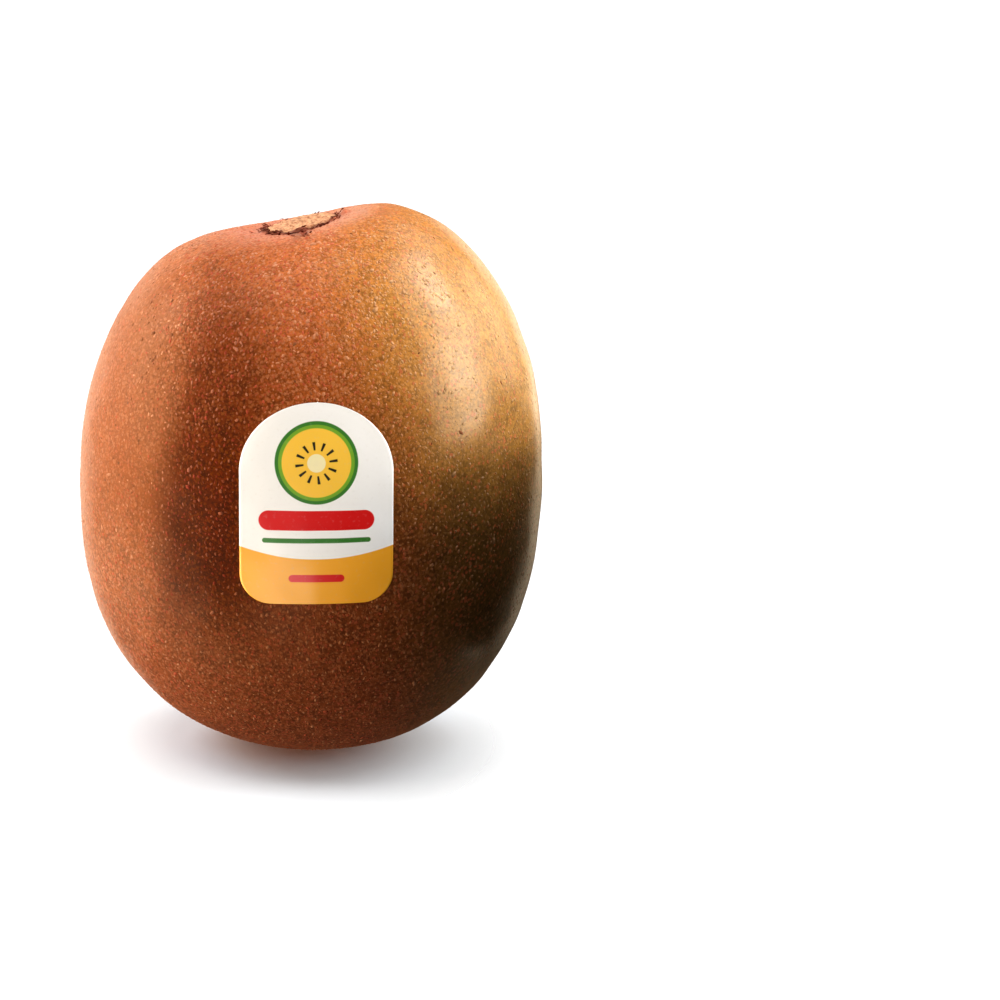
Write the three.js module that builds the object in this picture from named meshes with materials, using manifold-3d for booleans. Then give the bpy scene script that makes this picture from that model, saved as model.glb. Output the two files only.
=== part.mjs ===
// A whole golden kiwi fruit, standing on its flower end, with a paper label on its front.
// Millimetres, +Z up. The origin is on the surface that the fruit stands on, under the middle of its widest level.
// The fruit grew as one piece, so it is one solid: a superellipsoid whose top leans and dips between two
// shoulders, with the stem scar raised at the top and the dried flower end sunk in the flat spot below.

import * as THREE from "three";
import { mergeVertices } from "three/addons/utils/BufferGeometryUtils.js";
import Module from "manifold-3d";

// The body
const HALF_WIDTH = 28.4; // across the shoulders, along X
const DEPTH_SHARE = 0.94; // the front-to-back width over the width across
const TOP_HEIGHT = 34.7; // from the widest level up to the crown, before the dip
const BOTTOM_HEIGHT = 33.5; // from the widest level down to the tip, before the flat spot
const TOP_SQUARENESS = 2.25; // 2 is an ellipse, and more is squarer
const BOTTOM_SQUARENESS = 2.33;
const CROWN_SLOPE = 0.16; // how much higher the crown gets for each millimetre towards +X
const AXIS_LEAN = 0.56; // sideways shift of the axis at the crown
const AXIS_BEND = -1.15; // further shift that grows with the cube of the height
const AXIS_REACH = 33; // the height at which those two shifts hold
const LOBES = [
  { count: 3, height: 0.16, turn: 0.8 },
  { count: 5, height: 0.07, turn: 2.1 },
]; // slow swellings round the girth

// The dip and the valley between the shoulders, and the fuller shoulder on the -X side
const DIP = { depth: 2.8, x: 5, y: 6 };
const VALLEY = { depth: 1.65, x: 9.1, shift: -4 };
const SHOULDER = { x: -17, z: 25, wide: 6, tall: 5, out: 0.55, up: 0.42 };
const DIP_FADE = 6; // a higher power keeps the dip nearer the crown

// The stem scar
const SCAR_SHIFT = -0.7; // sideways from the body's own axis
const SCAR_SHIFT_FADE = 10;
const CORK = { radius: 3.7, edge: 0.25, height: 0.42 }; // the pale plug where the stem came away
const GROOVE = { radius: 4.05, width: 0.3, depth: 0.32 };
const FRINGE = { radius: 4.75, width: 0.42, height: 0.42 }; // ragged dry rim round the plug
const FRINGE_WAVES = [
  { count: 3, share: 0.08, turn: 1.0 },
  { count: 5, share: 0.05, turn: 2.0 },
];
const FRINGE_TEETH = [
  { count: 7, share: 0.35, turn: 0.4 },
  { count: 12, share: 0.45, turn: 1.7 },
];
const LOWEST_TOOTH = 0.15; // as a share of the fringe's height
const PIT = { radius: 0.75, depth: 0.28 }; // the end of the stem's core

// The flat spot and the flower end inside it
const FLAT_RADIUS = 6.5;
const HOLLOW = { radius: 3, depth: 0.9 };
const STYLE_STUB = { radius: 1.1, height: 0.6, lobes: 6, share: 0.3 };

// The mesh of the body: one row of quads for each step from the crown to the tip
const SEGMENTS = 72;
const SCAR_REACH = 6.6;
const SCAR_ROWS = 13;
const SIDE_ROWS = 38;
const HOLLOW_ROWS = 5;
const TINY = 1e-6;
const SAME_PLACE = 1e-4; // vertices nearer than this are one
const ROWS = SCAR_ROWS + SIDE_ROWS + 1 + HOLLOW_ROWS;

// The paper label, as seen square on
const LABEL = { width: 17.6, height: 23.4, corner: 3.5, dome: 8 };
const LABEL_MIDDLE = { x: 0.55, z: 2.4 }; // from the body's axis and its widest level
const LABEL_GAP = 0.3;
const LABEL_THICKNESS = 0.35;
const LABEL_REACH = { near: 15, far: 40 }; // where the cutter for the label starts and ends, towards -Y
const LABEL_CURVE_STEPS = 10;

// The widest level's height over the flat spot
const WIDEST_LEVEL = BOTTOM_HEIGHT * levelAtRadius(FLAT_RADIUS, BOTTOM_SQUARENESS);

// The share of the half height at which a superellipse has this radius.
function levelAtRadius(radius, squareness) {
  return (1 - (radius / HALF_WIDTH) ** squareness) ** (1 / squareness);
}

// The angle from the pole at which a superellipse has this radius.
function angleAtRadius(radius, squareness) {
  return Math.asin((radius / HALF_WIDTH) ** (squareness / 2));
}

// A smooth bump: 1 at the middle, fading over the width.
function bump(distance, width) {
  return Math.exp(-0.5 * (distance / width) ** 2);
}

// A sum of waves round the axis.
function waves(list, angle) {
  return list.reduce((sum, w) => sum + w.share * Math.sin(w.count * angle + w.turn), 0);
}

// The angle from the crown of each row of the mesh, close together on the scar and in the hollow.
function rowAngle(row) {
  const crownEdge = angleAtRadius(SCAR_REACH, TOP_SQUARENESS);
  const flatEdge = Math.PI - angleAtRadius(FLAT_RADIUS, BOTTOM_SQUARENESS);
  if (row <= SCAR_ROWS) {
    return angleAtRadius((SCAR_REACH * row) / SCAR_ROWS, TOP_SQUARENESS);
  }
  const down = row - SCAR_ROWS;
  if (down <= SIDE_ROWS) {
    return crownEdge + ((flatEdge - crownEdge) * down) / SIDE_ROWS;
  }
  const left = ROWS - row;
  return Math.PI - angleAtRadius((HOLLOW.radius * left) / HOLLOW_ROWS, BOTTOM_SQUARENESS);
}

// How far the surface stands up at this distance from the scar's middle.
function scarRelief(radius, angle) {
  const ring = FRINGE.radius * (1 + waves(FRINGE_WAVES, angle));
  const teeth = Math.max(LOWEST_TOOTH, 1 + waves(FRINGE_TEETH, angle));
  const plug = 1 / (1 + Math.exp((radius - CORK.radius) / CORK.edge));
  return (
    FRINGE.height * teeth * bump(radius - ring, FRINGE.width) -
    GROOVE.depth * bump(radius - GROOVE.radius, GROOVE.width) +
    CORK.height * plug -
    PIT.depth * bump(radius, PIT.radius)
  );
}

// The height of the flower end over the flat spot: a bowl with the stubs of the styles in it.
function hollowHeight(radius, angle) {
  const bowl = HOLLOW.depth * Math.max(0, 1 - (radius / HOLLOW.radius) ** 2);
  const parting = STYLE_STUB.share * Math.min(1, radius / STYLE_STUB.radius);
  const star = 1 + parting * Math.cos(STYLE_STUB.lobes * angle);
  return bowl - STYLE_STUB.height * star * bump(radius, STYLE_STUB.radius);
}

// The point of the body at an angle down from the crown and an angle round from +X.
function bodyPoint(down, round) {
  const upper = down < Math.PI / 2;
  const squareness = upper ? TOP_SQUARENESS : BOTTOM_SQUARENESS;
  const out = Math.sin(down) ** (2 / squareness);
  const level = Math.abs(Math.cos(down)) ** (2 / squareness);
  const crown = upper ? level : 0;
  const radius = HALF_WIDTH * out;
  const swell = LOBES.reduce((sum, l) => sum + l.height * Math.cos(l.count * round + l.turn), 0) * out * out;

  let x = (radius + swell) * Math.cos(round);
  const y = (radius + swell) * DEPTH_SHARE * Math.sin(round);
  let z = upper ? TOP_HEIGHT * level : -BOTTOM_HEIGHT * level;
  z += CROWN_SLOPE * x * crown ** 2;

  const reach = z / AXIS_REACH;
  x += AXIS_LEAN * reach + AXIS_BEND * reach ** 3 + SCAR_SHIFT * crown ** SCAR_SHIFT_FADE;

  const middle = AXIS_LEAN + AXIS_BEND + SCAR_SHIFT;
  const across = bump(x - middle, DIP.x) * bump(y, DIP.y);
  z -= crown ** DIP_FADE * (DIP.depth * across + VALLEY.depth * bump(x - middle - VALLEY.shift, VALLEY.x));
  z += crown ** DIP_FADE * scarRelief(radius, round);

  const fuller = upper ? bump(x - SHOULDER.x, SHOULDER.wide) * bump(z - SHOULDER.z, SHOULDER.tall) : 0;
  x -= SHOULDER.out * fuller;
  z += SHOULDER.up * fuller + WIDEST_LEVEL;

  const inHollow = !upper && radius < HOLLOW.radius - TINY;
  const onFlat = !upper && radius < FLAT_RADIUS + TINY;
  if (inHollow) {
    z = hollowHeight(radius, round);
  } else if (onFlat) {
    z = 0;
  }
  return new THREE.Vector3(x, y, z);
}

// The body as a closed mesh. The sphere gives the grid of rows and segments, and each corner is then placed.
function bodyGeometry() {
  const sphere = new THREE.SphereGeometry(1, SEGMENTS, ROWS);
  const places = sphere.getAttribute("position");
  for (let row = 0; row <= ROWS; row += 1) {
    for (let segment = 0; segment <= SEGMENTS; segment += 1) {
      const round = (2 * Math.PI * (segment % SEGMENTS)) / SEGMENTS;
      const point = bodyPoint(rowAngle(row), round);
      places.setXYZ(row * (SEGMENTS + 1) + segment, point.x, point.y, point.z);
    }
  }
  return closed(sphere);
}

// The geometry with only its places, and one vertex where several met.
function closed(geometry) {
  geometry.deleteAttribute("normal");
  geometry.deleteAttribute("uv");
  return mergeVertices(geometry, SAME_PLACE);
}

// The outline of the label: straight sides, round lower corners and a domed top, about its own middle.
function labelOutline() {
  const side = LABEL.width / 2;
  const foot = -LABEL.height / 2;
  const spring = LABEL.height / 2 - LABEL.dome;
  const outline = new THREE.Shape();
  outline.moveTo(side - LABEL.corner, foot);
  outline.absarc(side - LABEL.corner, foot + LABEL.corner, LABEL.corner, -Math.PI / 2, 0, false);
  outline.absellipse(0, spring, side, LABEL.dome, 0, Math.PI, false);
  outline.absarc(LABEL.corner - side, foot + LABEL.corner, LABEL.corner, Math.PI, 1.5 * Math.PI, false);
  return outline;
}

// The label's outline as a prism that reaches from inside the fruit out through its front.
function labelCutter() {
  const prism = new THREE.ExtrudeGeometry(labelOutline(), {
    depth: LABEL_REACH.far - LABEL_REACH.near,
    bevelEnabled: false,
    curveSegments: LABEL_CURVE_STEPS,
  });
  prism.rotateX(Math.PI / 2);
  prism.translate(LABEL_MIDDLE.x, -LABEL_REACH.near, WIDEST_LEVEL + LABEL_MIDDLE.z);
  return closed(prism);
}

// A geometry as a manifold-3d solid.
function solid(wasm, geometry) {
  const mesh = new wasm.Mesh({
    numProp: 3,
    vertProperties: new Float32Array(geometry.getAttribute("position").array),
    triVerts: new Uint32Array(geometry.index.array),
  });
  return new wasm.Manifold(mesh);
}

// A manifold-3d solid as a geometry.
function geometryOf(made) {
  const mesh = made.getMesh();
  const geometry = new THREE.BufferGeometry();
  geometry.setAttribute("position", new THREE.BufferAttribute(mesh.vertProperties, 3));
  geometry.setIndex(new THREE.BufferAttribute(mesh.triVerts, 1));
  return geometry;
}

// The label follows the skin: its faces are the body swollen sideways by the gap, and by the thickness more.
function labelGeometry(wasm, body) {
  const swollen = (by) => {
    const share = 1 + by / (HALF_WIDTH * DEPTH_SHARE);
    return solid(wasm, body.clone().scale(share, share, 1));
  };
  const shell = swollen(LABEL_GAP + LABEL_THICKNESS).subtract(swollen(LABEL_GAP));
  return geometryOf(shell.intersect(solid(wasm, labelCutter())));
}

const wasm = await Module();
wasm.setup();

const body = bodyGeometry();
const skin = new THREE.MeshStandardMaterial({ color: 0x96633b, roughness: 0.6, metalness: 0 });
const fruit = new THREE.Mesh(body, skin);
fruit.name = "kiwi_fruit";

const paper = new THREE.MeshStandardMaterial({ color: 0xf3f1ea, roughness: 0.4, metalness: 0 });
const label = new THREE.Mesh(labelGeometry(wasm, body), paper);
label.name = "paper_label";

const kiwi = new THREE.Group();
kiwi.add(fruit, label);

export default kiwi;
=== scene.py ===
import math

import bmesh
import bpy
import numpy as np
from mathutils import Matrix, Vector, noise
from mathutils.bvhtree import BVHTree
from mathutils.kdtree import KDTree


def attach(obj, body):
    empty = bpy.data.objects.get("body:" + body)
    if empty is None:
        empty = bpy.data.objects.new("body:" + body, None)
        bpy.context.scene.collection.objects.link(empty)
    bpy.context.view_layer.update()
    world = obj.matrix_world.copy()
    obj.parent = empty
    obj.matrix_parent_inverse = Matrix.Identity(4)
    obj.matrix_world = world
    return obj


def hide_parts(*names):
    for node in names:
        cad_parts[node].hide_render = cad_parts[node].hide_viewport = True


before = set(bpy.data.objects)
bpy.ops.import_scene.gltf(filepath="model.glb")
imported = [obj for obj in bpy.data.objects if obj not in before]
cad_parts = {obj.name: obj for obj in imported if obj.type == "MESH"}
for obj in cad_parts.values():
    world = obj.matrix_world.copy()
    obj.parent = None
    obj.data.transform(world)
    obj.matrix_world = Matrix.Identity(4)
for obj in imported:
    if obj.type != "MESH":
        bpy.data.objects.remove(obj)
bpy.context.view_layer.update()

MM = 0.001
draw = np.random.default_rng(41)  # for the torn scales, the styles and the flecks, in that order

# The body, in millimetres: the values of the solid part
HALF_WIDTH = 28.4
DEPTH_SHARE = 0.94
TOP_HEIGHT = 34.7
BOTTOM_HEIGHT = 33.5
TOP_SQUARENESS = 2.25
BOTTOM_SQUARENESS = 2.33
CROWN_SLOPE = 0.16
AXIS_LEAN = 0.56
AXIS_BEND = -1.15
AXIS_REACH = 33
LOBES = ((3, 0.16, 0.8), (5, 0.07, 2.1))  # count round the girth, height, turn
DIP = {"depth": 2.8, "x": 5, "y": 6}
VALLEY = {"depth": 1.65, "x": 9.1, "shift": -4}
SHOULDER = {"x": -17, "z": 25, "wide": 6, "tall": 5, "out": 0.55, "up": 0.42}
DIP_FADE = 6

SCAR_SHIFT = -0.7
SCAR_SHIFT_FADE = 10
CORK = {"radius": 3.7, "edge": 0.25, "height": 0.42}
GROOVE = {"radius": 4.05, "width": 0.3, "depth": 0.32}
FRINGE = {"radius": 4.75, "width": 0.42, "height": 0.42}
FRINGE_WAVES = ((3, 0.08, 1.0), (5, 0.05, 2.0))
FRINGE_TEETH = ((7, 0.35, 0.4), (12, 0.45, 1.7))
LOWEST_TOOTH = 0.15
PIT = {"radius": 0.75, "depth": 0.28}

FLAT_RADIUS = 6.5
HOLLOW = {"radius": 3, "depth": 0.9}
STYLE_STUB = {"radius": 1.1, "height": 0.6, "lobes": 6, "share": 0.3}

LABEL = {"width": 17.6, "height": 23.4, "corner": 3.5, "dome": 8}
LABEL_MIDDLE = {"x": 0.55, "z": 2.4}

# The fine surface of the body
SEGMENTS = 384
SCAR_REACH = 6.6
SCAR_ROWS = 40
SIDE_ROWS = 190
FLAT_ROWS = 4
HOLLOW_ROWS = 14
ROWS = SCAR_ROWS + SIDE_ROWS + FLAT_ROWS + HOLLOW_ROWS
SLOW_WAVES = ((16, 0.03), (11, 0.024), (8, 0.017), (6, 0.012), (4.5, 0.009), (3.4, 0.007))  # length, height
WAVES_EACH = 3
WAVES_END = {"low": 0.5, "high": 3.5}  # the heights over which the waves die out at the foot

# The plug of cork, the torn scales and the dried styles
PLUG = {"reach": 4.9, "shoulder": 4.1, "dome": 0.22, "far_lift": 0.3, "tilt": 0.06, "wall": 0.7}
PLUG_ROUGHNESS = ((0.9, 0.16), (2.2, 0.09))  # waves to the millimetre, height
SCALES = {"tried": 460, "from": 4.55, "tongue": 6}
STYLES = {"count": 26, "reach": 1.7, "level": 0.62}
GOLDEN_ANGLE = 2.39996

# The scurf
TRIED_SPOTS = 90000
FLECK_GAP = 0.455
HALF_FLECK = 0.24
HIGHEST_FLECK = 0.09
BROAD_SHARE = 0.03
ROOM_AT_LABEL = 0.3
BARE_FOOT = 0.6
BARE_TOP = {"radius": 5.6, "above": 50}

# The paper and its print
PAPER = {"lift": 0.05, "thickness": 0.11, "columns": 72, "rows": 96}
PRINT_EDGE = 0.05
DISC_LEVEL = 4.9
SEEDS = {"count": 12, "radius": 1.95}

# What several finishes share
WARM_SHEEN = (1.0, 0.62, 0.32, 1)


def level_at(radius, squareness):
    """The share of the half height at which a superellipse has this radius."""
    return (1 - (radius / HALF_WIDTH) ** squareness) ** (1 / squareness)


def angle_at(radius, squareness):
    """The angle from the pole at which a superellipse has this radius."""
    return np.arcsin(np.minimum(1, (radius / HALF_WIDTH) ** (squareness / 2)))


WIDEST_LEVEL = BOTTOM_HEIGHT * level_at(FLAT_RADIUS, BOTTOM_SQUARENESS)


def bump(distance, width):
    """A smooth bump: 1 at the middle, fading over the width."""
    return np.exp(-0.5 * (distance / width) ** 2)


def rising(values, low, high):
    """0 up to the low value, 1 from the high one, and a straight slope between them."""
    return np.clip((values - low) / (high - low), 0, 1)


def falling(values, low, high):
    """1 up to the low value, 0 from the high one, and a straight slope between them."""
    return np.clip((high - values) / (high - low), 0, 1)


def unit(vectors):
    """The vectors, each made 1 long."""
    return vectors / np.linalg.norm(vectors, axis=-1, keepdims=True)


def waves(terms, angle):
    """A sum of waves round the axis."""
    return sum(share * np.sin(count * angle + turn) for count, share, turn in terms)


def scar_relief(radius, angle):
    """How far the skin stands up round the stem scar."""
    ring = FRINGE["radius"] * (1 + waves(FRINGE_WAVES, angle))
    teeth = np.maximum(LOWEST_TOOTH, 1 + waves(FRINGE_TEETH, angle))
    plug = 1 / (1 + np.exp((radius - CORK["radius"]) / CORK["edge"]))
    return (
        FRINGE["height"] * teeth * bump(radius - ring, FRINGE["width"])
        - GROOVE["depth"] * bump(radius - GROOVE["radius"], GROOVE["width"])
        + CORK["height"] * plug
        - PIT["depth"] * bump(radius, PIT["radius"])
    )


def hollow_height(radius, angle):
    """The flower end's height over the flat spot."""
    bowl = HOLLOW["depth"] * np.maximum(0, 1 - (radius / HOLLOW["radius"]) ** 2)
    parting = STYLE_STUB["share"] * np.minimum(1, radius / STYLE_STUB["radius"])
    star = 1 + parting * np.cos(STYLE_STUB["lobes"] * angle)
    return bowl - STYLE_STUB["height"] * star * bump(radius, STYLE_STUB["radius"])


def body_places(down, turn):
    """Points of the body, at angles down from the crown and round from +X."""
    upper = down < math.pi / 2
    squareness = np.where(upper, TOP_SQUARENESS, BOTTOM_SQUARENESS)
    out = np.maximum(0, np.sin(down)) ** (2 / squareness)
    level = np.abs(np.cos(down)) ** (2 / squareness)
    crown = np.where(upper, level, 0)
    radius = HALF_WIDTH * out
    lobes = sum(height * np.cos(count * turn + start) for count, height, start in LOBES)
    swell = lobes * out * out

    x = (radius + swell) * np.cos(turn)
    y = (radius + swell) * DEPTH_SHARE * np.sin(turn)
    z = np.where(upper, TOP_HEIGHT * level, -BOTTOM_HEIGHT * level)
    z = z + CROWN_SLOPE * x * crown**2

    reach = z / AXIS_REACH
    x = x + AXIS_LEAN * reach + AXIS_BEND * reach**3 + SCAR_SHIFT * crown**SCAR_SHIFT_FADE

    middle = AXIS_LEAN + AXIS_BEND + SCAR_SHIFT
    across = DIP["depth"] * bump(x - middle, DIP["x"]) * bump(y, DIP["y"])
    valley = VALLEY["depth"] * bump(x - middle - VALLEY["shift"], VALLEY["x"])
    z = z - crown**DIP_FADE * (across + valley) + crown**DIP_FADE * scar_relief(radius, turn)

    fuller = bump(x - SHOULDER["x"], SHOULDER["wide"]) * bump(z - SHOULDER["z"], SHOULDER["tall"])
    fuller = np.where(upper, fuller, 0)
    x = x - SHOULDER["out"] * fuller
    z = z + SHOULDER["up"] * fuller + WIDEST_LEVEL

    on_flat = ~upper & (radius < FLAT_RADIUS + 1e-6)
    in_hollow = ~upper & (radius < HOLLOW["radius"])
    z = np.where(on_flat, 0, z)
    z = np.where(in_hollow, hollow_height(radius, turn), z)
    return np.stack([x, y, z], axis=-1)


SCAR_MIDDLE = Vector(body_places(np.array([0.0]), np.array([0.0]))[0])


def rows_below(outer, inner, rows):
    """The angles of rows under the fruit, from an outer radius to an inner one."""
    return math.pi - angle_at(np.linspace(outer, inner, rows + 1), BOTTOM_SQUARENESS)


def row_angles():
    """The angle down from the crown of each row of the skin."""
    scar = angle_at(np.linspace(0, SCAR_REACH, SCAR_ROWS + 1), TOP_SQUARENESS)
    flat = rows_below(FLAT_RADIUS, HOLLOW["radius"], FLAT_ROWS)
    hollow = rows_below(HOLLOW["radius"], 0, HOLLOW_ROWS)
    side = np.linspace(scar[-1], flat[0], SIDE_ROWS + 1)
    return np.concatenate([scar, side[1:], flat[1:], hollow[1:]])


# Words for making a material

class Value:
    """A socket of a material's nodes, on which ordinary maths adds Math nodes."""

    def __init__(self, finish, socket):
        self.finish = finish
        self.socket = socket

    def maths(self, operation, *given):
        return self.finish.node("Math", {"operation": operation}, dict(enumerate(given)))

    def __add__(self, other):
        return self.maths("ADD", self, other)

    __radd__ = __add__

    def __sub__(self, other):
        return self.maths("SUBTRACT", self, other)

    def __rsub__(self, other):
        return self.maths("SUBTRACT", other, self)

    def __mul__(self, other):
        return self.maths("MULTIPLY", self, other)

    __rmul__ = __mul__

    def __abs__(self):
        return self.maths("ABSOLUTE", self)

    def over(self, other):
        """The greater of the two."""
        return self.maths("MAXIMUM", self, other)

    def sine(self):
        return self.maths("SINE", self)

    def root(self):
        return self.maths("SQRT", self)


class Finish:
    """One material, and the words that build its nodes."""

    def __init__(self, name):
        self.material = bpy.data.materials.new(name)
        self.material.use_nodes = True
        self.tree = self.material.node_tree
        self.tree.nodes.clear()

    def node(self, kind, settings=None, inputs=None, output=0):
        """A node of a type, with its settings, then the values or links of its sockets."""
        made = self.tree.nodes.new("ShaderNode" + kind)
        for key, value in (settings or {}).items():
            setattr(made, key, value)
        for key, value in (inputs or {}).items():
            self.feed(made.inputs[key], value)
        return Value(self, made.outputs[output])

    def feed(self, socket, value):
        """Links a value to a socket, or sets a number or a colour on it."""
        if isinstance(value, Value):
            self.tree.links.new(value.socket, socket)
        elif isinstance(value, tuple) and len(value) == 3 and len(socket.default_value) == 4:
            socket.default_value = (*value, 1)
        else:
            socket.default_value = value

    def millimetres(self):
        """The place on the object, in millimetres."""
        place = self.node("TexCoord", output="Object")
        return self.node("VectorMath", {"operation": "SCALE"}, {0: place, "Scale": 1 / MM})

    def parts(self, vector):
        """The three numbers of a vector or a colour."""
        split = self.node("SeparateXYZ", inputs={0: vector})
        return tuple(Value(self, socket) for socket in split.socket.node.outputs)

    def noise(self, place, size, detail=2, rough=0.5, output="Fac"):
        """Cloudy noise whose lumps are of about this size."""
        given = {"Vector": place, "Scale": 1 / size, "Detail": detail, "Roughness": rough}
        return self.node("TexNoise", inputs=given, output=output)

    def cells(self, place, size, feature="F1", output="Distance"):
        """Scattered cells of about this size."""
        given = {"Vector": place, "Scale": 1 / size}
        return self.node("TexVoronoi", {"feature": feature}, given, output)

    def ramp(self, value, low, high, to_low=0.0, to_high=1.0):
        """The value carried smoothly from low..high to another range, and held there."""
        given = {"Value": value, "From Min": low, "From Max": high, "To Min": to_low, "To Max": to_high}
        return self.node("MapRange", {"interpolation_type": "SMOOTHSTEP"}, given)

    def blend(self, first, second, share):
        """A colour between two colours."""
        return self.node("Mix", {"data_type": "RGBA"}, {0: share, 6: first, 7: second}, 2)

    def scaled(self, colour, share):
        """A colour made darker or lighter."""
        return self.node("VectorMath", {"operation": "SCALE"}, {0: colour, "Scale": share})

    def relief(self, height, depth):
        """A normal from heights in millimetres."""
        return self.node("Bump", inputs={"Height": height, "Distance": depth * MM, "Strength": 1.0})

    def surface(self, **sockets):
        """The material, with the Principled shader's sockets given by name."""
        shader = self.node("BsdfPrincipled", output="BSDF")
        for key, value in sockets.items():
            name = key.replace("_", " ").title().replace("Ior", "IOR")
            self.feed(shader.socket.node.inputs[name], value)
        self.node_out(shader)
        return self.material

    def node_out(self, shader):
        """Makes a shader the one that the material shows."""
        out = self.tree.nodes.new("ShaderNodeOutputMaterial")
        self.tree.links.new(shader.socket, out.inputs["Surface"])


def golden_share(f, place):
    """How golden the skin is: 0 on the red-brown left and under side, 1 on the upper right."""
    x, y, z = f.parts(place)
    broad = f.noise(place, 9, 2)
    return f.ramp(x + z * 0.15 - y * 0.05 + broad * 6, 11, 28) * f.ramp(z, 56, 70, 1, 0.45)


def golden_with_painted_shade(f, place, low, high):
    """The golden side's colour, with painted shade that makes it darker below, most of all towards the
    front; its paler upper colour is partly the fruit's own gold and partly a painted highlight.
    """
    _, y, z = f.parts(place)
    # painted shade: darker below and towards the front, paler above where part of the highlight is painted
    low = f.blend(low, high, f.ramp(y, -18, 2) * 0.4)
    return f.blend(low, high, f.ramp(z + f.noise(place, 5, 2) * 8, 32, 60))


def height_share(f, place):
    """How far up the fruit a place is, with a ragged change."""
    _, _, z = f.parts(place)
    return f.ramp(z + f.noise(place, 5, 2) * 10, 4, 62)


def front_share(f, place):
    """How much a place is on the front."""
    _, y, _ = f.parts(place)
    return f.ramp(y, -12, 2, 1, 0)


def painted_shade_band(f, place):
    """How much a place is in the band left of the label, where the skin is darkened by painted shade."""
    x, _, z = f.parts(place)
    left_edge = f.ramp(x - f.ramp(z, 34, 58, 0, 4), -20, -15)
    upper = f.ramp(z, 34, 48, 1, 0.77) * f.ramp(z, 52, 70, 1, 0.2)
    return front_share(f, place) * left_edge * f.ramp(x, -10.5, -0.5, 1, 0) * f.ramp(z, 13, 28) * upper


def painted_light_and_shade(f, place, colour, darker):
    """A colour with painted shade, browner on the front and darker in the band by these shares, and painted
    light, lighter and redder under the left.
    """
    x, _, z = f.parts(place)
    # painted shade: the front is made browner and darker
    front_shade = front_share(f, place) * f.ramp(abs(x - 1), 3, 26, 1, 0) * f.ramp(abs(z - 31), 6, 36, 1, 0)
    # painted shade: the band left of the label is made darker
    band = painted_shade_band(f, place)
    red, green, blue = darker
    # painted light: the lower left is made lighter
    under = f.ramp(x, -24, -8, 1, 0) * f.ramp(z, 6, 30, 1, 0)
    shares = f.node("CombineXYZ", inputs={
        0: 1.0 - front_shade * 0.08 - band * red + under * 0.35,
        1: 1.0 - front_shade * 0.2 - band * green + under * 0.32,
        2: 1.0 - front_shade * 0.4 - band * blue + under * 0.3,
    })
    return f.node("VectorMath", {"operation": "MULTIPLY"}, {0: colour, 1: shares})


def skin_ground(f, place, golden, high):
    """The skin's colour under its freckles, with painted light: lighter towards the top and on the
    shoulders, with a painted sheen on the left flank, and painted shade: darker below and low on the golden
    side.
    """
    x, _, z = f.parts(place)
    # painted light and shade: lighter towards the top, darker below
    ground = f.blend((0.126, 0.036, 0.015), (0.25, 0.07, 0.017), high)
    left = f.ramp(x, -25, -15, 1, 0) * f.ramp(z, 14, 26)
    ground = f.blend(ground, (0.36, 0.12, 0.045), left * 0.15)
    # painted light from above: the upper middle is made lighter and redder
    shoulder = f.ramp(z - abs(x - 1) * 0.6, 38, 58)
    ground = f.blend(ground, (0.48, 0.145, 0.045), shoulder * 0.75)
    ground = f.blend(ground, golden_with_painted_shade(f, place, (0.08, 0.041, 0.009), (0.47, 0.245, 0.062)), golden)
    # painted sheen: a pale patch on the upper left flank
    painted_sheen = f.ramp(x, -23, -19) * f.ramp(x, -17, -13, 1, 0)
    painted_sheen = painted_sheen * f.ramp(z, 34, 44) * f.ramp(z, 54, 62, 1, 0)
    return f.blend(ground, (0.3, 0.16, 0.085), painted_sheen * 0.2)


def round_the_scar(f, place, base, mottle, grain):
    """A pink blush round the stem scar, and a dark torn rim with a tongue down the near side."""
    x, y, z = f.parts(place)
    across = x - SCAR_MIDDLE.x
    away = y - SCAR_MIDDLE.y
    from_scar = (across * across + away * away).root()
    near_side = f.ramp(away, -3.5, 1.0, 1, 0)
    far_side = f.ramp(away, 2.5, 4.5)
    at_top = f.ramp(z, 52, 58)
    blush = f.ramp(from_scar + mottle * 5, 6.5, 17, 1, 0) * at_top
    base = f.blend(base, (0.5, 0.18, 0.14), blush * 0.62)
    torn = f.noise(place, 0.55, 3, 0.7)
    tongue = f.ramp(abs(across - 0.2), 0.1, 2.4, 1, 0) * near_side
    ragged = from_scar + torn * (tongue * 6 + 3.2) - near_side * 0.6 - tongue * 9 - far_side * 0.9
    rim = f.ramp(ragged, 5.3, 6.9, 1, 0) * at_top
    rim_colour = f.blend((0.05, 0.013, 0.01), (0.24, 0.06, 0.04), grain)
    return f.blend(base, rim_colour, rim * f.ramp(from_scar, 7, 12, 0.85, 0.45))


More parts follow.
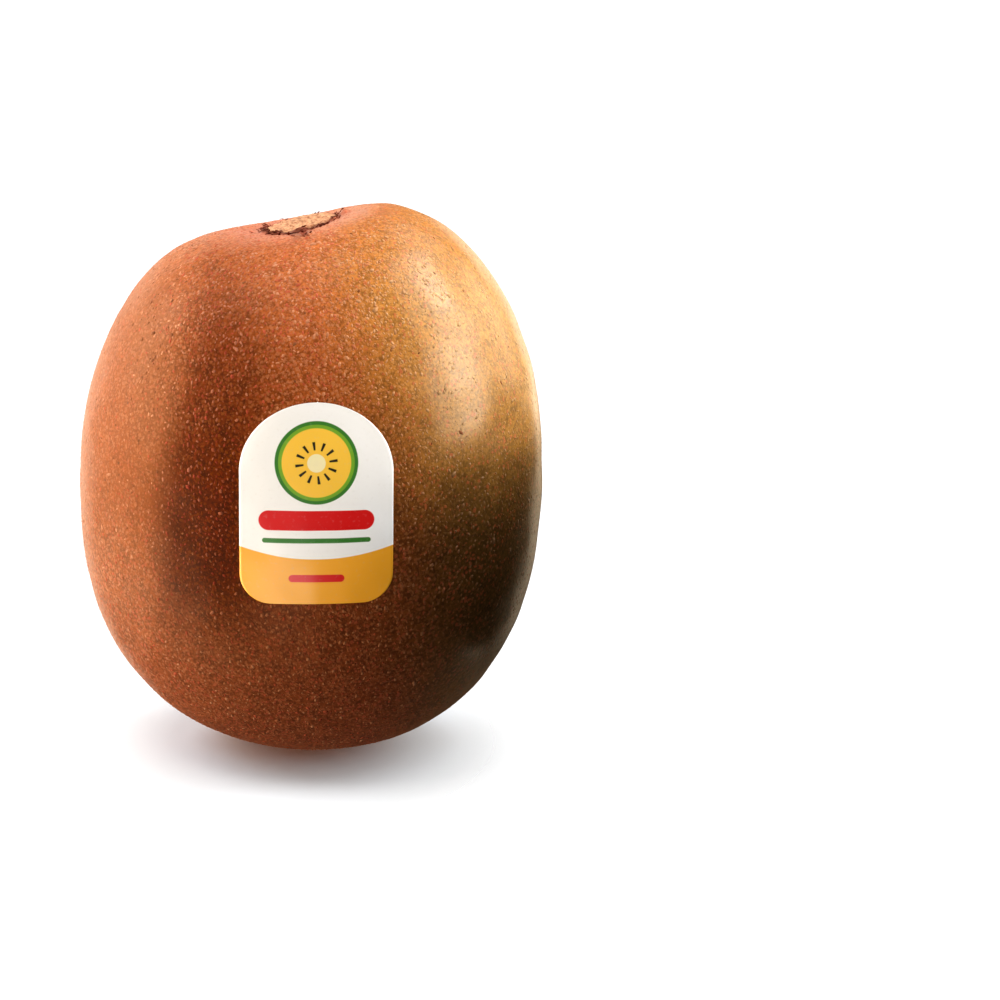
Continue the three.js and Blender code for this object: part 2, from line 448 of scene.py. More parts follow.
def skin_finish():
    """Russet skin, redder on the left, golden on the upper right, and freckled all over, with painted light
    higher up and under the left, a painted sheen on the left flank, and painted shade below, on the front
    and in a band left of the label.
    """
    f = Finish("kiwi skin")
    place = f.millimetres()
    x, _, z = f.parts(place)
    golden = golden_share(f, place)
    high = height_share(f, place)
    smooth_side = f.ramp(x, -19, -12, 1, 0) * f.ramp(z, 24, 36)
    mottle = f.noise(place, 1.5, 3, 0.6)
    grain = f.noise(place, 0.2, 2, 0.6)
    speckle = f.noise(place, 0.45, 2, 0.65)
    drift = f.noise(place, 0.4, output="Color")
    crooked = f.node("VectorMath", {"operation": "MULTIPLY_ADD"}, {0: drift, 1: (0.5,) * 3, 2: place})
    freckles = f.cells(crooked, 0.5)
    tone, size, _ = f.parts(f.cells(crooked, 0.5, output="Color"))
    fine = f.cells(crooked, 0.33)
    dots = f.cells(place, 1.5)
    dot_kind, _, _ = f.parts(f.cells(place, 1.5, output="Color"))

    uneven = f.ramp(mottle * 0.3 + grain * 0.2 + speckle * 0.5, 0.39, 0.61, -0.34, 0.34)
    shade = uneven * (1.0 - smooth_side * 0.6) + 0.96
    base = f.scaled(skin_ground(f, place, golden, high), shade)

    # painted light and shade: the freckles are lighter towards the top and darker below
    pale = f.blend((0.22, 0.076, 0.04), (0.56, 0.24, 0.13), high)
    pale = f.blend(pale, golden_with_painted_shade(f, place, (0.15, 0.07, 0.028), (0.56, 0.33, 0.14)), golden)
    rosy = f.blend((0.25, 0.06, 0.038), (0.54, 0.145, 0.08), high)
    freckle_colour = f.blend(pale, rosy, f.ramp(tone, 0.55, 0.75))
    freckle = f.ramp(freckles + grain * 0.22 + size * 0.16, 0.46, 0.68, 1, 0)
    fine_spot = f.ramp(fine + grain * 0.2, 0.34, 0.55, 1, 0)
    base = f.blend(base, pale, fine_spot * (0.38 - smooth_side * 0.2))
    base = f.blend(base, freckle_colour, freckle * (0.6 - smooth_side * 0.3))
    pore = f.ramp(dots + grain * 0.12, 0.13, 0.22, 1, 0) * f.ramp(dot_kind, 0.5, 0.6)
    base = f.blend(base, (0.1, 0.034, 0.012), pore * (0.5 + smooth_side * 0.3))
    base = painted_light_and_shade(f, place, base, (0.58, 0.71, 0.82))
    base = round_the_scar(f, place, base, mottle, grain)

    gloss_noise = grain * 0.5 + mottle * 0.5
    roughness = f.ramp(gloss_noise, 0.3, 0.7, 0.52, 0.62) + painted_shade_band(f, place) * 0.2
    height = freckle * 1.3 + fine_spot * 0.5 + grain * 0.5 + mottle * 0.4
    return f.surface(
        base_color=base,
        roughness=roughness,
        normal=f.relief(height, 0.022),
        specular_ior_level=0.24,
        specular_tint=WARM_SHEEN,
        coat_weight=golden * high * 0.85 + 0.05,
        coat_roughness=0.28,
        coat_tint=(1.0, 0.93, 0.62, 1),
    )


def scurf_finish(name, low, high, golden_side=None):
    """Dry raised flecks, each of its own tone, and golden with the skin if its colours there are given;
    then, like the skin, they get painted light higher up and under the left, and painted shade below, on
    the front and in the band.
    """
    f = Finish(name)
    place = f.millimetres()
    coat = 0.0
    tone = f.node("Attribute", {"attribute_name": "tone"}, output="Fac")
    grain = f.noise(place, 0.12, 2)
    colour = f.blend(low, high, tone * 0.8 + grain * 0.2)
    if golden_side:
        # painted light and shade: flecks lighter higher up, darker below
        light = f.ramp(height_share(f, place), 0, 1, 0.57, 1.12)
        colour = f.scaled(colour, light)
        colour = painted_light_and_shade(f, place, colour, (0.42, 0.52, 0.42))
        golden = golden_share(f, place)
        colour = f.blend(colour, golden_with_painted_shade(f, place, *golden_side), golden * 0.9)
        coat = golden * height_share(f, place) * 0.7
    return f.surface(
        base_color=colour,
        roughness=f.ramp(grain, 0.3, 0.7, 0.66, 0.8),
        normal=f.relief(grain, 0.01),
        specular_ior_level=0.18,
        specular_tint=WARM_SHEEN,
        coat_weight=coat,
        coat_roughness=0.35,
    )


def added(name, mesh, material):
    """A mesh as an object of the scene."""
    mesh.materials.append(material)
    mesh.shade_smooth()
    made = bpy.data.objects.new(name, mesh)
    bpy.context.scene.collection.objects.link(made)
    return made


def finished(name, bm, material):
    """A bmesh as an object of the scene."""
    mesh = bpy.data.meshes.new(name)
    bm.to_mesh(mesh)
    bm.free()
    return added(name, mesh, material)


def placed(made):
    """A piece that belongs to the fruit, attached to its body."""
    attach(made, "root")
    return made


def vertex_places(mesh):
    """The places of a mesh's vertices, one to a row."""
    flat = np.empty(len(mesh.vertices) * 3, dtype=np.float32)
    mesh.vertices.foreach_get("co", flat)
    return flat.reshape(-1, 3).astype(np.float64)


def set_vertex_places(mesh, places):
    """Moves a mesh's vertices, which keep their order."""
    mesh.vertices.foreach_set("co", places.astype(np.float32).ravel())
    mesh.update()


def slow_waves(places):
    """Shallow unevenness of the skin, as heights in millimetres."""
    rng = np.random.default_rng(7)
    total = np.zeros(places.shape[:-1])
    for length, height in SLOW_WAVES:
        for _ in range(WAVES_EACH):
            way = rng.normal(size=3)
            way /= np.linalg.norm(way)
            start = rng.uniform(0, 2 * math.pi)
            total += height * np.sin(places @ way * (2 * math.pi / length) + start)
    return total


def skin_places(down, turn):
    """Points of the finished skin: the body with its slow unevenness, which dies out at the foot."""
    places = body_places(down, turn)
    outward = unit(places - np.array([0, 0, WIDEST_LEVEL]))
    share = rising(places[..., 2], WAVES_END["low"], WAVES_END["high"])
    places += outward * (slow_waves(places) * share)[..., None]
    places[..., 2] = np.maximum(places[..., 2], 0)
    return places


def kiwi_skin():
    """The whole skin, from the scar at the top to the flower end under it."""
    bm = bmesh.new()
    bm.loops.layers.uv.new("OFBake")
    bmesh.ops.create_uvsphere(bm, u_segments=SEGMENTS, v_segments=ROWS, radius=1, calc_uvs=True)
    made = placed(finished("kiwi_skin", bm, skin_finish()))
    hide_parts("kiwi_fruit")
    ball = vertex_places(made.data)
    row = np.rint(np.arccos(np.clip(ball[:, 2], -1, 1)) / math.pi * ROWS).astype(int)
    down = row_angles()[row]
    turn = np.arctan2(ball[:, 1], ball[:, 0])
    set_vertex_places(made.data, skin_places(down, turn) * MM)
    return made


def skin_spots(count):
    """Random spots all over the skin, even by area, with the skin's normal at each.

    They come from the formula and not from the mesh, whose faces have another order each time it is made.
    """
    turns = np.linspace(-math.pi, math.pi, SEGMENTS + 1)
    corners = skin_places(*np.meshgrid(row_angles(), turns, indexing="ij"))
    first = corners[:-1, :-1].reshape(-1, 3)
    beside = corners[:-1, 1:].reshape(-1, 3) - first
    along = corners[1:, :-1].reshape(-1, 3) - first
    normals = np.cross(along, beside)
    areas = np.linalg.norm(normals, axis=1)
    picked = draw.choice(len(areas), size=count, p=areas / areas.sum())
    first, beside, along = first[picked], beside[picked], along[picked]
    spots = first + beside * draw.random((count, 1)) + along * draw.random((count, 1))
    return spots, normals[picked] / areas[picked, None]


def spaced(spots, gap):
    """Which spots to keep so that no two are nearer than their gap."""
    tree = KDTree(len(spots))
    for index, spot in enumerate(spots):
        tree.insert(spot, index)
    tree.balance()
    kept = np.zeros(len(spots), dtype=bool)
    for index, spot in enumerate(spots):
        near = tree.find_range(spot, gap[index])
        kept[index] = not any(kept[other] for _, other, _ in near)
    return kept


def arch_half_width(height):
    """Half the label's width at a height over its foot."""
    side = LABEL["width"] / 2
    corner, dome, tall = LABEL["corner"], LABEL["dome"], LABEL["height"]
    to_straight = corner - np.minimum(height, corner)
    low = side - corner + np.sqrt(np.maximum(0, corner**2 - to_straight**2))
    rise = np.clip((height - (tall - dome)) / dome, 0, 1)
    return np.minimum(low, side * np.sqrt(1 - rise**2))


def beside_label(spots, room):
    """Which spots are clear of the label by some room."""
    across = np.abs(spots[:, 0] - LABEL_MIDDLE["x"])
    height = spots[:, 2] - WIDEST_LEVEL - LABEL_MIDDLE["z"] + LABEL["height"] / 2
    inside = (height > -room) & (height < LABEL["height"] + room)
    width = arch_half_width(np.clip(height, 0, LABEL["height"]))
    return ~(inside & (across < width + room) & (spots[:, 1] < 0))


def new_template():
    """An empty bmesh for a small shape, with the map that its colours are baked through."""
    template = bmesh.new()
    template.loops.layers.uv.new("OFBake")
    return template


def spike(tip, length):
    """A six-sided cone with a blunt tip, as a small shape to be repeated."""
    template = new_template()
    caps = {"cap_ends": True, "cap_tris": True}
    ends = {"radius1": 1, "radius2": tip, "depth": length}
    bmesh.ops.create_cone(template, segments=6, calc_uvs=True, **caps, **ends)
    return template


def repeated(name, template, shapes, material):
    """Copies of a small shape as one piece, each with axes times their sizes, a place and a tone."""
    one = finished(name + " one", template, material)
    copies = one.modifiers.new("copies", "ARRAY")
    copies.count = len(shapes["places"])
    copies.use_relative_offset = False
    copies.use_constant_offset = True
    copies.constant_offset_displace = (0, 0, 0)
    seen = one.evaluated_get(bpy.context.evaluated_depsgraph_get())
    whole = bpy.data.meshes.new_from_object(seen)
    corners = vertex_places(one.data)
    bpy.data.meshes.remove(one.data)  # and its object with it
    spread = np.einsum("vk,nkj->nvj", corners, shapes["axes"]) + shapes["places"][:, None, :]
    set_vertex_places(whole, spread.reshape(-1, 3) * MM)
    spread_map(whole, len(shapes["places"]))
    tones = whole.attributes.new("tone", "FLOAT", "POINT")
    tones.data.foreach_set("value", np.repeat(shapes["tones"], len(corners)).astype(np.float32))
    whole.name = name
    whole.materials.clear()
    placed(added(name, whole, material))


def spread_map(mesh, count):
    """Gives each copy a cell of its own in the map, twice as wide as it is high."""
    layer = mesh.uv_layers["OFBake"]
    flat = np.empty(len(mesh.loops) * 2, dtype=np.float32)
    layer.uv.foreach_get("vector", flat)
    spots = flat.reshape(count, -1, 2)
    spots -= spots[0].min(axis=0)
    spots /= spots[0].max(axis=0)
    columns = math.ceil(math.sqrt(count / 2))
    rows = math.ceil(count / columns)
    cells = np.stack([np.arange(count) % columns, np.arange(count) // columns], axis=1)
    spots = (spots * 0.84 + 0.08 + cells[:, None, :]) / np.array([columns, rows])
    layer.uv.foreach_set("vector", spots.astype(np.float32).ravel())


def lying(normals, turns, sizes):
    """Axes of shapes that lie on the skin: long way, across and up, each times its size."""
    up = np.array([0, 0, 1.0])
    side = np.cross(up, normals)
    side /= np.linalg.norm(side, axis=1)[:, None] + 1e-9
    rise = np.cross(normals, side)
    along = rise * np.cos(turns)[:, None] + side * np.sin(turns)[:, None]
    across = np.cross(normals, along)
    return np.stack([along * sizes[:, :1], across * sizes[:, 1:2], normals * sizes[:, 2:]], axis=1)


def smooth_flank(spots):
    """How much spots are on the smooth upper left flank."""
    return falling(spots[:, 0], -20, -13) * rising(spots[:, 2], 26, 38)


def scurf_spots():
    """Where the flecks are: nearer together above, fewer on the smooth sides, none at label and scar."""
    spots, normals = skin_spots(TRIED_SPOTS)
    x, y, z = spots.T
    patchy = np.array([noise.noise(Vector(spot) * 0.16) for spot in spots])
    gap = FLECK_GAP + 0.12 * patchy + 0.09 * falling(z, 20, 45) - 0.14 * rising(z, 46, 56)
    sunny_side = bump(x - 21, 9) * bump(y + 14, 12) * bump(z - 48, 14)
    left_side = falling(x, -20, -13)
    bare = (z < BARE_FOOT) | ~beside_label(spots, ROOM_AT_LABEL)
    bare |= draw.random(len(spots)) < 0.86 * sunny_side + 0.45 * left_side + 0.47 * smooth_flank(spots)
    from_scar = np.hypot(x - SCAR_MIDDLE.x, y - SCAR_MIDDLE.y)
    bare |= (z > BARE_TOP["above"]) & (from_scar < BARE_TOP["radius"])
    spots, normals = spots[~bare], normals[~bare]
    kept = spaced(spots, gap[~bare])
    return spots[kept], normals[kept]


def scurf():
    """Dry flecks that stand up from the skin, in four tints."""
    spots, normals = scurf_spots()
    x, _, z = spots.T
    count = len(spots)
    dark_kind = 0.99
    kind = np.where(draw.random(count) < 0.65 * smooth_flank(spots), dark_kind, draw.random(count))
    long = np.exp(draw.normal(math.log(HALF_FLECK), 0.25, count))
    broad = draw.random(count) < BROAD_SHARE
    long = np.where(broad, long * 1.4, long) * (1 + 0.12 * falling(z, 20, 45) + 0.04 * rising(z, 46, 56))
    wide = long * draw.uniform(0.4, 0.75, count)
    golden_side = rising(x + z * 0.15, 8, 18)
    tall = np.minimum(wide * draw.uniform(0.35, 0.6, count), HIGHEST_FLECK) * (1 - 0.62 * golden_side)
    sunk = spots - normals * (tall * 0.55)[:, None]
    turns = draw.normal(0.1, 0.65, count)
    axes = lying(normals, turns, np.stack([long, wide, tall], axis=1))
    tones = draw.random(count)
    golden = ((0.15, 0.075, 0.03), (0.5, 0.31, 0.13))
    for name, low, high, tint, golden_tint in (
        ("scurf_pale", 0.0, 0.36, ((0.37, 0.16, 0.09), (0.57, 0.28, 0.17)), golden),
        ("scurf_tan", 0.36, 0.7, ((0.28, 0.09, 0.042), (0.41, 0.155, 0.078)), golden),
        ("scurf_rust", 0.7, 0.988, ((0.3, 0.07, 0.035), (0.5, 0.125, 0.07)), golden),
        ("scurf_dark", 0.988, 1.01, ((0.16, 0.056, 0.024), (0.26, 0.1, 0.045)), None),
    ):
        these = (kind >= low) & (kind < high)
        template = new_template()
        bmesh.ops.create_icosphere(template, subdivisions=1, radius=1, calc_uvs=True)
        shapes = {"axes": axes[these], "places": sunk[these], "tones": tones[these]}
        repeated(name, template, shapes, scurf_finish(name.replace("_", " "), *tint, golden_tint))


def label_finish():
    """Glossy printed paper: a white field, a gold foot, a cut fruit, a red ribbon and a green line."""
    f = Finish("printed label")
    spot = f.node("UVMap", {"uv_map": "OFBake"})
    u, v, _ = f.parts(spot)
    across = (u - 0.5) * LABEL["width"]
    high = (v - 0.5) * LABEL["height"]
    place = f.node("CombineXYZ", inputs={0: across, 1: high, 2: 0.0})
    fibre = f.noise(place, 0.5, 3)
    over_disc = high - DISC_LEVEL
    from_disc = (across * across + over_disc * over_disc).root()

    def within(distance, size):
        """1 nearer than the size and 0 beyond it."""
        return f.ramp(distance, size - PRINT_EDGE, size + PRINT_EDGE, 1, 0)

    def bar(level, half_width, half_height):
        """A bar with round ends."""
        past = (abs(across) - (half_width - half_height)).over(0.0)
        above = high - level
        return within((past * past + above * above).root(), half_height)

    white = (0.94, 0.955, 0.97)
    gold = (0.93, 0.44, 0.035)
    green = (0.05, 0.22, 0.035)
    light_green = (0.2, 0.42, 0.04)
    red = (0.68, 0.012, 0.012)
    foot = high - across * across * 0.018
    colour = f.blend(white, gold, within(foot, -6.3))
    colour = f.blend(colour, green, bar(-4.1, 6.2, 0.28))
    colour = f.blend(colour, red, bar(-1.75, 6.6, 1.15))
    colour = f.blend(colour, red, bar(-8.6, 3.2, 0.45))
    colour = f.blend(colour, green, within(from_disc, 4.75))
    colour = f.blend(colour, light_green, within(from_disc, 4.35))
    colour = f.blend(colour, (0.95, 0.6, 0.08), within(from_disc, 3.95))
    angle = f.node("Math", {"operation": "ARCTAN2"}, {0: over_disc, 1: across})
    seed = f.ramp((angle * SEEDS["count"]).sine(), 0.55, 0.8)
    seed = seed * f.ramp(abs(from_disc - SEEDS["radius"]), 0.42, 0.52, 1, 0)
    colour = f.blend(colour, (0.02, 0.02, 0.015), seed)
    colour = f.blend(colour, (0.93, 0.86, 0.55), within(from_disc, 1.05))
    colour = f.blend(colour, (0.6, 0.58, 0.54), f.ramp(fibre, 0.55, 0.8) * 0.12)
    return f.surface(
        base_color=colour,
        roughness=f.ramp(fibre, 0.3, 0.7, 0.3, 0.4),
        normal=f.relief(fibre, 0.006),
        coat_weight=0.25,
        coat_roughness=0.15,
    )


def paper_label(skin):
    """The label: a grid drawn to the arch, laid on the skin, and given the thickness of the paper."""
    bm = bmesh.new()
    uv = bm.loops.layers.uv.new("OFBake")
    bmesh.ops.create_grid(bm, x_segments=PAPER["columns"], y_segments=PAPER["rows"], size=1)
    for vert in bm.verts:
        share = (1 - math.cos((vert.co.y + 1) / 2 * math.pi)) / 2
        height = share * LABEL["height"]
        half = float(arch_half_width(np.array(height)))
        vert.co = Vector((vert.co.x * half, 0, height - LABEL["height"] / 2))
    bmesh.ops.remove_doubles(bm, verts=bm.verts, dist=1e-4)
    for face in bm.faces:
        for loop in face.loops:
            spot = loop.vert.co
            loop[uv].uv = (spot.x / LABEL["width"] + 0.5, spot.z / LABEL["height"] + 0.5)
    surface = BVHTree.FromObject(skin, bpy.context.evaluated_depsgraph_get())
    well_in_front = -60
    for vert in bm.verts:
        x = vert.co.x + LABEL_MIDDLE["x"]
        z = vert.co.z + LABEL_MIDDLE["z"] + WIDEST_LEVEL
        hit, normal, _, _ = surface.ray_cast(Vector((x, well_in_front, z)) * MM, Vector((0, 1, 0)))
        vert.co = hit + normal * (PAPER["lift"] * MM)
    bmesh.ops.recalc_face_normals(bm, faces=bm.faces)
    front = sum((face.normal for face in bm.faces), Vector())
    if front.y > 0:
        bmesh.ops.reverse_faces(bm, faces=bm.faces)
    made = placed(finished("arched_label", bm, label_finish()))
    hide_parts("paper_label")
    thick = made.modifiers.new("paper", "SOLIDIFY")
    thick.thickness = PAPER["thickness"] * MM
    thick.offset = 1


def scar_finish():
    """Pale dry cork with short fibres, browner towards the rim."""
    f = Finish("dry cork")
    place = f.millimetres()
    x, y, _ = f.parts(place)
    across = x - SCAR_MIDDLE.x
    away = y - SCAR_MIDDLE.y
    radius = (across * across + away * away).root()
    angle = f.node("Math", {"operation": "ARCTAN2"}, {0: away, 1: across})
    turned = f.node("CombineXYZ", inputs={0: angle * 3.0, 1: radius * 0.35, 2: 0.0})
    fibre = f.noise(turned, 0.22, 3, 0.6)
    fleck = f.noise(place, 0.55, 3, 0.65)
    pale = f.ramp(fibre * 0.4 + fleck * 0.6, 0.36, 0.6)
    colour = f.blend((0.38, 0.15, 0.065), (0.68, 0.38, 0.22), pale)
    cracks = f.ramp(f.cells(place, 1.3, "DISTANCE_TO_EDGE") + fleck * 0.2, 0.1, 0.17, 1, 0)
    colour = f.blend(colour, (0.16, 0.05, 0.02), cracks * 0.6)
    rim = f.ramp(radius + fleck * 1.4 - f.ramp(away, 1, 4) * 0.7, 4.7, 5.5)
    colour = f.blend(colour, (0.16, 0.045, 0.025), rim)
    return f.surface(
        base_color=colour,
        roughness=f.ramp(fleck, 0.3, 0.7, 0.65, 0.85),
        normal=f.relief(fibre + fleck, 0.12),
        specular_ior_level=0.3,
    )


def scar_level(radius):
    """The flat that lies on a ring round the scar: its middle, and its slopes to the right and away."""
    turns = np.array([0.0, math.pi / 2, math.pi, -math.pi / 2])
    rim = body_places(np.full(4, float(angle_at(radius, TOP_SQUARENESS))), turns)
    right, back, left, front = rim
    slope_x = (right[2] - left[2]) / (right[0] - left[0])
    slope_y = (back[2] - front[2]) / (back[1] - front[1])
    middle = rim.mean(axis=0)
    return middle, slope_x, slope_y


def stem_scar():
    """The plug of dry cork where the stem came away: a spun disc that fills the scar to its rim."""
    bm = bmesh.new()
    uv = bm.loops.layers.uv.new("OFBake")
    reach = PLUG["reach"]
    bm.edges.new((bm.verts.new((0, 0, 0)), bm.verts.new((reach, 0, 0))))
    bmesh.ops.subdivide_edges(bm, edges=bm.edges[:], cuts=36)
    line = bm.verts[:] + bm.edges[:]
    round_once = {"cent": (0, 0, 0), "axis": (0, 0, 1), "angle": 2 * math.pi}
    bmesh.ops.spin(bm, geom=line, steps=120, use_merge=True, **round_once)
    bmesh.ops.remove_doubles(bm, verts=bm.verts, dist=1e-4)
    for face in bm.faces:
        for loop in face.loops:
            spot = loop.vert.co
            loop[uv].uv = (spot.x / reach * 0.49 + 0.5, spot.y / reach * 0.49 + 0.5)
    middle, slope_x, slope_y = scar_level(reach)
    for vert in bm.verts:
        radius = vert.co.xy.length
        turn = math.atan2(vert.co.y, vert.co.x)
        down = angle_at(np.array([radius]), TOP_SQUARENESS)
        spot = Vector(body_places(down, np.array([turn]))[0])
        flat = middle[2] + slope_x * (spot.x - middle[0]) + slope_y * (spot.y - middle[1])
        rough = 0
        for pace, height in PLUG_ROUGHNESS:
            rough += noise.noise(Vector((vert.co.x, vert.co.y, 3)) * pace) * height
        rough += noise.noise(Vector((math.cos(turn) * 7, math.sin(turn) * 7, radius * 0.5))) * 0.07
        far = max(0.0, vert.co.y / reach)
        level = flat + PLUG["tilt"] * vert.co.y + PLUG["far_lift"] * far
        level = level + PLUG["dome"] * (1 - (radius / reach) ** 2) + rough
        past_shoulder = max(0.0, (radius - PLUG["shoulder"]) / 0.8)
        level -= (0.5 - 0.3 * far) * past_shoulder**2
        if radius > reach - 0.1:
            level -= PLUG["wall"] * far
        spot.z = level
        vert.co = spot * MM
    bmesh.ops.recalc_face_normals(bm, faces=bm.faces)
    if sum(face.normal.z for face in bm.faces) < 0:
        bmesh.ops.reverse_faces(bm, faces=bm.faces)
    placed(finished("stem_scar", bm, scar_finish()))


def scar_fringe():
    """Torn dry scales round the scar: long in front, where they lie over the skin, and short behind."""
    count = SCALES["tried"]
    turns = draw.uniform(-math.pi, math.pi, count)
    front = 0.35 - 0.65 * np.sin(turns)
    clumps = np.clip(0.6 + waves(((5, 0.35, 1.3), (11, 0.3, 0.4)), turns), 0.12, 1)
    turns = turns[draw.random(count) < (np.clip(front, 0.3, 1) * 0.8 + 0.2) * clumps]
    count = len(turns)
    front = np.clip(0.35 - 0.65 * np.sin(turns), 0.12, 1)
    tongue = bump(np.cos(turns) * 5, 1.1) * (np.sin(turns) < 0)
    radii = SCALES["from"] + np.abs(draw.normal(0, 0.5, count)) * (0.35 + front)
    radii = radii + tongue * draw.uniform(0, SCALES["tongue"], count)
    step = 0.05
    down = angle_at(radii, TOP_SQUARENESS)
    spots = body_places(down, turns)
    outward = unit(body_places(angle_at(radii + step, TOP_SQUARENESS), turns) - spots)
    tangent = unit(body_places(down, turns + step) - spots)
    up = unit(np.cross(outward, tangent))
    lift = draw.normal(0.35, 0.3, count)
    along = outward * np.cos(lift)[:, None] + up * np.sin(lift)[:, None]
    along = unit(along + tangent * draw.normal(0, 0.55, (count, 1)))
    flat = unit(np.cross(along, tangent))
    wide = np.cross(flat, along)
    behind = np.maximum(0, np.sin(turns))
    tall = draw.uniform(0.22, 0.6, count) * (0.45 + 0.75 * front + 0.35 * behind)
    wide = wide * draw.uniform(0.1, 0.24, (count, 1))
    flat = flat * draw.uniform(0.04, 0.08, (count, 1))
    axes = np.stack([wide, flat, along * tall[:, None]], axis=1)
    template = spike(0.3, 1.6)
    long_edges = [edge for edge in template.edges if abs(edge.verts[0].co.z - edge.verts[1].co.z) > 1]
    bmesh.ops.subdivide_edges(template, edges=long_edges, cuts=1)
    for vert in template.verts:
        vert.co.x += 0.35 * vert.co.z**2
    spots = spots + up * (0.08 + 0.35 * behind)[:, None]
    shapes = {"axes": axes, "places": spots, "tones": draw.random(count)}
    finish = scurf_finish("dry scales", (0.04, 0.011, 0.008), (0.28, 0.075, 0.045))
    repeated("scar_fringe", template, shapes, finish)


def flower_end():
    """Dried styles, folded down in the hollow under the fruit."""
    count = STYLES["count"]
    turns = np.arange(count) * GOLDEN_ANGLE + draw.normal(0, 0.2, count)
    radii = np.sqrt(np.arange(count) / count) * STYLES["reach"] + 0.15
    outward = np.stack([np.cos(turns), np.sin(turns), np.zeros(count)], axis=1)
    tangent = np.stack([-np.sin(turns), np.cos(turns), np.zeros(count)], axis=1)
    centre = body_places(np.array([math.pi]), np.array([0.0]))[0, 0]
    spots = np.array([centre, 0, STYLES["level"]]) + outward * radii[:, None]
    along = unit(outward * 0.9 + np.array([0, 0, -0.32]) + tangent * draw.normal(0, 0.35, (count, 1)))
    side = unit(np.cross(along, np.array([0, 0, 1.0])))
    over = np.cross(side, along)
    axes = np.stack([side * 0.12, over * 0.1, along * draw.uniform(0.35, 0.6, (count, 1))], axis=1)
    shapes = {"axes": axes, "places": spots, "tones": draw.random(count)}
    finish = scurf_finish("dried styles", (0.02, 0.008, 0.005), (0.1, 0.035, 0.018))
    repeated("flower_end", spike(0.45, 2), shapes, finish)


LIGHT_DISTANCE = 0.5
POWER_FOR_ONE = 2.467  # watts that light a white face at that distance to a radiance of 1


def softbox(name, turn, rise, size, strength, colour):
    """A soft light at so many degrees round from +X and up, and how strongly it lights the fruit."""
    light = bpy.data.lights.new(name, "AREA")
    light.shape = "ELLIPSE"
    light.size, light.size_y = size
    light.energy = strength * POWER_FOR_ONE
    light.color = colour
    made = bpy.data.objects.new(name, light)
    turn, rise = math.radians(turn), math.radians(rise)
    way = Vector((math.cos(rise) * math.cos(turn), math.cos(rise) * math.sin(turn), math.sin(rise)))
    made.location = Vector((0, 0, WIDEST_LEVEL * MM)) + way * LIGHT_DISTANCE
    made.rotation_euler = way.to_track_quat("Z", "Y").to_euler()
    made.visible_camera = False
    bpy.context.scene.collection.objects.link(made)


def lights():
    """The soft lights of the studio, those behind the fruit for a pale rim."""
    softbox("left below", 165, -22, (0.25, 0.25), 0.42, (1.0, 0.8, 0.55))
    softbox("left front below", 205, -25, (0.3, 0.3), 0.9, (1.0, 0.82, 0.6))
    softbox("left key", 157, 13, (0.2, 0.3), 0.26, (1.0, 0.85, 0.66))
    softbox("left", 172, 12, (0.3, 0.3), 0.32, (1.0, 0.92, 0.82))
    softbox("left back", 130, 5, (0.3, 0.3), 0.12, (1.0, 1.0, 0.95))
    softbox("left high", 165, 38, (0.25, 0.25), 0.44, (1.0, 1.0, 1.0))
    softbox("top", 195, 73, (0.3, 0.3), 0.55, (1.0, 0.88, 0.73))
    softbox("right front", 352, 25, (0.35, 0.35), 0.58, (1.0, 1.0, 1.0))
    softbox("right front low", 345, 12, (0.25, 0.25), 0.43, (1.0, 0.8, 0.55))
    softbox("right below", 25, -25, (0.3, 0.3), 0.3, (1.0, 0.84, 0.62))
    softbox("right back", 30, 20, (0.3, 0.3), 0.19, (1.0, 0.99, 0.97))
    softbox("right back low", 50, -14, (0.3, 0.3), 0.14, (1.0, 0.82, 0.6))
    softbox("right high", 5, 50, (0.25, 0.25), 0.46, (1.0, 1.0, 1.0))
    softbox("right back high", 50, 50, (0.25, 0.25), 0.12, (1.0, 1.0, 1.0))
    softbox("far back left", 108, 20, (0.3, 0.3), 0.18, (1.0, 0.98, 0.85))
    softbox("far back right", 66, 6, (0.25, 0.25), 0.085, (1.0, 0.98, 0.88))
    softbox("far back below", 118, -15, (0.3, 0.3), 0.28, (1.0, 0.98, 0.8))
    softbox("front high", 257, 37, (0.3, 0.3), 0.06, (1.0, 1.0, 1.0))
    softbox("front left", 225, 5, (0.3, 0.3), 0.08, (1.0, 1.0, 1.0))
    softbox("front below", 255, -30, (0.3, 0.3), 0.25, (1.0, 1.0, 1.0))


def only_seen(made):
    """A piece of the stage that the camera sees, but that neither lights nor shades the fruit."""
    made.visible_diffuse = False
    made.visible_glossy = False
    made.visible_shadow = False


def floor():
    """A pale floor that fades out round the fruit."""
    bm = bmesh.new()
    bmesh.ops.create_grid(bm, x_segments=1, y_segments=1, size=2)
    f = Finish("pale floor")
    x, y, _ = f.parts(f.millimetres())
    wide = (x + 5) * 1.35
    fade = f.ramp((wide * wide + y * y).root(), 7, 54)
    shade = f.node("BsdfDiffuse", inputs={"Color": (0.8, 0.88, 0.98)}, output="BSDF")
    clear = f.node("BsdfTransparent", output="BSDF")
    f.node_out(f.node("MixShader", inputs={0: fade, 1: shade, 2: clear}))
    only_seen(finished("floor", bm, f.material))


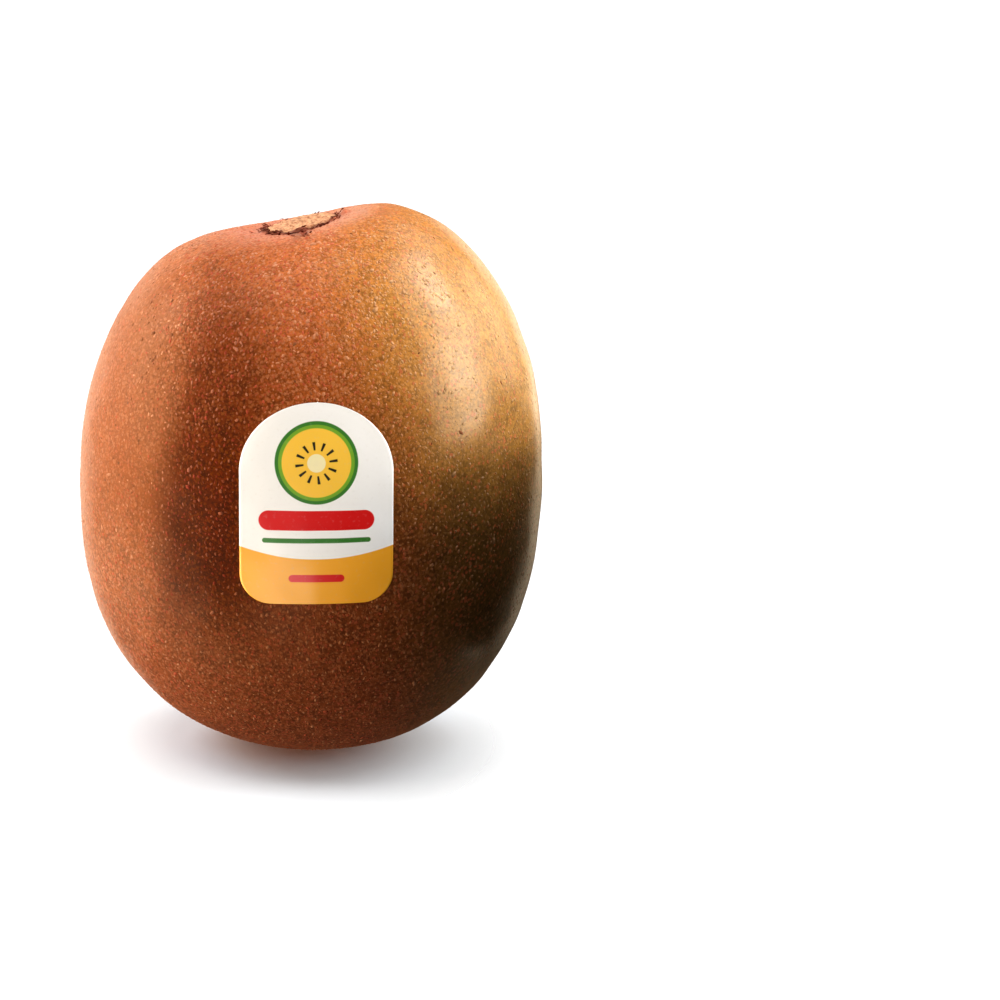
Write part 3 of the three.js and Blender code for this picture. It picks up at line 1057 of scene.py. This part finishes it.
def backdrop():
    """An even white all round."""
    bm = bmesh.new()
    bmesh.ops.create_icosphere(bm, subdivisions=4, radius=4)
    f = Finish("white backdrop")
    f.node_out(f.node("Emission", inputs={"Color": (1.0, 1.0, 1.0), "Strength": 1.02}, output="Emission"))
    only_seen(finished("backdrop", bm, f.material))


def black_card():
    """A card beside the lower right of the fruit, unseen by the camera, which keeps light off it."""
    bm = bmesh.new()
    bmesh.ops.create_grid(bm, x_segments=1, y_segments=1, size=0.5)
    middle = Matrix.Translation(Vector((40, -24, 20)) * MM)
    size = Matrix.Diagonal((44 * MM, 66 * MM, 1, 1))
    upright = middle @ Matrix.Rotation(math.pi / 2, 4, "Y") @ size
    bmesh.ops.transform(bm, matrix=upright, verts=bm.verts)
    f = Finish("black card")
    f.node_out(f.node("BsdfDiffuse", inputs={"Color": (0.01, 0.01, 0.01)}, output="BSDF"))
    made = finished("card", bm, f.material)
    made.visible_camera = False


def dim_room():
    """A faint even light from all round."""
    world = bpy.data.worlds.new("dim room")
    world.use_nodes = True
    world.node_tree.nodes["Background"].inputs["Color"].default_value = (0.03, 0.03, 0.03, 1)
    bpy.context.scene.world = world


def camera():
    """A long lens a little above the fruit, turned so that the fruit stands left of the middle."""
    distance = 345
    height = math.radians(12)
    turn = math.radians(3.880)
    nod = math.radians(0.455)
    data = bpy.data.cameras.new("camera")
    data.lens = 100
    data.sensor_width = 36
    data.clip_start = 0.01
    made = bpy.data.objects.new("camera", data)
    place = Vector((0, -distance * math.cos(height), WIDEST_LEVEL + distance * math.sin(height))) * MM
    turned = (
        Matrix.Rotation(math.pi / 2 - height, 4, "X")
        @ Matrix.Rotation(-turn, 4, "Y")
        @ Matrix.Rotation(-nod, 4, "X")
    )
    made.matrix_world = Matrix.Translation(place) @ turned
    bpy.context.scene.collection.objects.link(made)
    bpy.context.scene.camera = made


camera()
floor()
backdrop()
black_card()
dim_room()
lights()
skin = kiwi_skin()
stem_scar()
scar_fringe()
flower_end()
paper_label(skin)
scurf()
bpy.context.scene.view_settings.view_transform = "Standard"
bpy.context.scene.view_settings.look = "Medium High Contrast"
